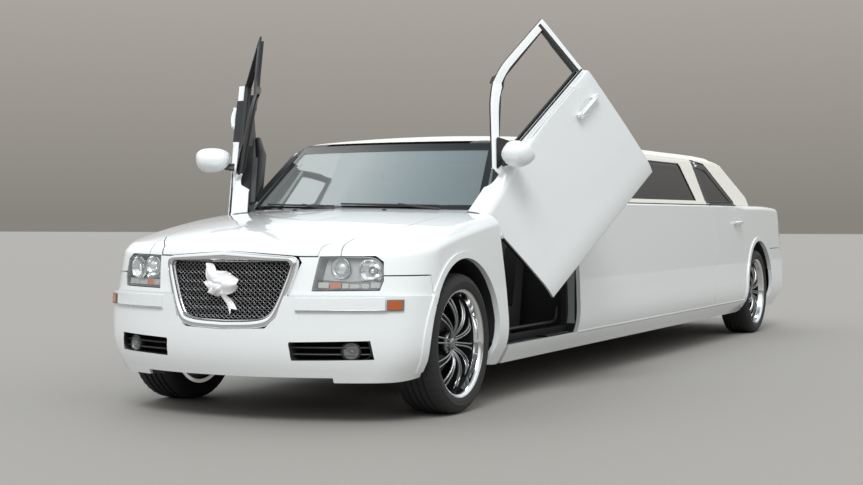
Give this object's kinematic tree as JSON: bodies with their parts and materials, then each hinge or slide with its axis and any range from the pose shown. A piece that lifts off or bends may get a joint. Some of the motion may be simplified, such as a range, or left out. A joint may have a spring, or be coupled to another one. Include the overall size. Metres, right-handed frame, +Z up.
{
  "type": "stretch limousine",
  "caption": "Long white stretched saloon with a vinyl roof, mesh grille, raised front doors, hinged rear doors, bonnet and boot lid, steered front wheels.",
  "frame": {"origin": "on the ground, midway between nose and tail, on the plane of symmetry", "axes": "+X towards the nose, +Y to the car's left, +Z up"},
  "size_m": [8.0501, 2.7926, 2.1315],
  "materials": {
    "white_paint": "gloss white",
    "vinyl": "grained off-white vinyl",
    "chrome": "polished",
    "black_plastic": "grained black",
    "dark_steel": "underbody steel",
    "lamp_clear": "clear lens",
    "lamp_red": "red lens",
    "clear_glass": "screen glass",
    "tinted_glass": "dark tint",
    "trim": "door trim",
    "seat_leather": "dark leather",
    "ribbon": "satin ribbon",
    "tyre": "rubber",
    "carpet": "dark carpet"
  },
  "bodies": {
    "body": {"floor_pan": "dark_steel", "body_side_left": "white_paint", "body_side_right": "white_paint", "roof": "vinyl", "engine_bay": "white_paint", "rear_deck": "white_paint", "fender_left": "white_paint", "fender_right": "white_paint", "front_bumper": "white_paint", "rear_bumper": "white_paint", "grille_surround": "chrome", "grille_mesh": "black_plastic", "headlamps": "lamp_clear", "tail_lamps": "lamp_red", "fog_grilles": "black_plastic", "windscreen": "clear_glass", "rear_window": "tinted_glass", "side_glass": "tinted_glass", "front_door_left": "white_paint", "front_door_right": "white_paint", "front_door_trims": "trim", "door_mirrors": "white_paint", "door_hinges": "dark_steel", "dashboard": "black_plastic", "front_seats": "seat_leather", "partition": "carpet", "rear_seats": "seat_leather", "engine": "dark_steel", "front_subframe": "dark_steel", "rear_axle": "dark_steel", "exhaust": "dark_steel", "fuel_tank": "black_plastic", "ribbon_bow": "ribbon"},
    "knuckle_left": {"knuckle_left": "dark_steel"},
    "knuckle_right": {"knuckle_right": "dark_steel"},
    "wheel_front_left": {"rim_front_left": "chrome", "tyre_front_left": "tyre"},
    "wheel_front_right": {"rim_front_right": "chrome", "tyre_front_right": "tyre"},
    "wheel_rear_left": {"rim_rear_left": "chrome", "tyre_rear_left": "tyre"},
    "wheel_rear_right": {"rim_rear_right": "chrome", "tyre_rear_right": "tyre"},
    "rear_door_left": {"rear_door_left": "white_paint", "rear_door_glass_left": "tinted_glass"},
    "rear_door_right": {"rear_door_right": "white_paint", "rear_door_glass_right": "tinted_glass"},
    "bonnet": {"bonnet": "white_paint"},
    "boot_lid": {"boot_lid": "white_paint"},
    "steering_wheel": {"steering_wheel": "black_plastic"}
  },
  "joints": [
    {"name": "steer_left", "type": "hinge", "parent": "body", "child": "knuckle_left", "pos_m": [3.203, 0.72, 0.36], "axis": [0, 0, 1], "range_deg": [-33, 33]},
    {"name": "steer_right", "type": "hinge", "parent": "body", "child": "knuckle_right", "pos_m": [3.203, -0.72, 0.36], "axis": [0, 0, 1], "range_deg": [-33, 33]},
    {"name": "spin_front_left", "type": "hinge", "parent": "knuckle_left", "child": "wheel_front_left", "pos_m": [3.203, 0.795, 0.36], "axis": [0, 1, 0], "continuous": true},
    {"name": "spin_front_right", "type": "hinge", "parent": "knuckle_right", "child": "wheel_front_right", "pos_m": [3.203, -0.795, 0.36], "axis": [0, 1, 0], "continuous": true},
    {"name": "spin_rear_left", "type": "hinge", "parent": "body", "child": "wheel_rear_left", "pos_m": [-2.893, 0.795, 0.36], "axis": [0, 1, 0], "continuous": true},
    {"name": "spin_rear_right", "type": "hinge", "parent": "body", "child": "wheel_rear_right", "pos_m": [-2.893, -0.795, 0.36], "axis": [0, 1, 0], "continuous": true},
    {"name": "rear_door_left_hinge", "type": "hinge", "parent": "body", "child": "rear_door_left", "pos_m": [-1.4905, 0.943, 0.7], "axis": [0, 0, -1], "range_deg": [0, 65]},
    {"name": "rear_door_right_hinge", "type": "hinge", "parent": "body", "child": "rear_door_right", "pos_m": [-1.4905, -0.943, 0.7], "axis": [0, 0, 1], "range_deg": [0, 65]},
    {"name": "bonnet_hinge", "type": "hinge", "parent": "body", "child": "bonnet", "pos_m": [2.68, 0, 1.05], "axis": [0, -1, 0], "range_deg": [0, 48]},
    {"name": "boot_hinge", "type": "hinge", "parent": "body", "child": "boot_lid", "pos_m": [-3.22, 0, 1.138], "axis": [0, 1, 0], "range_deg": [0, 78]},
    {"name": "steering_column", "type": "hinge", "parent": "body", "child": "steering_wheel", "pos_m": [2.015, 0.37, 0.86], "axis": [0.9063, 0, -0.4226], "range_deg": [-462, 462]}
  ],
  "couplings": [
    {"joint": "steer_right", "follows": "steer_left", "ratio": 1},
    {"joint": "steering_column", "follows": "steer_left", "ratio": -14}
  ]
}
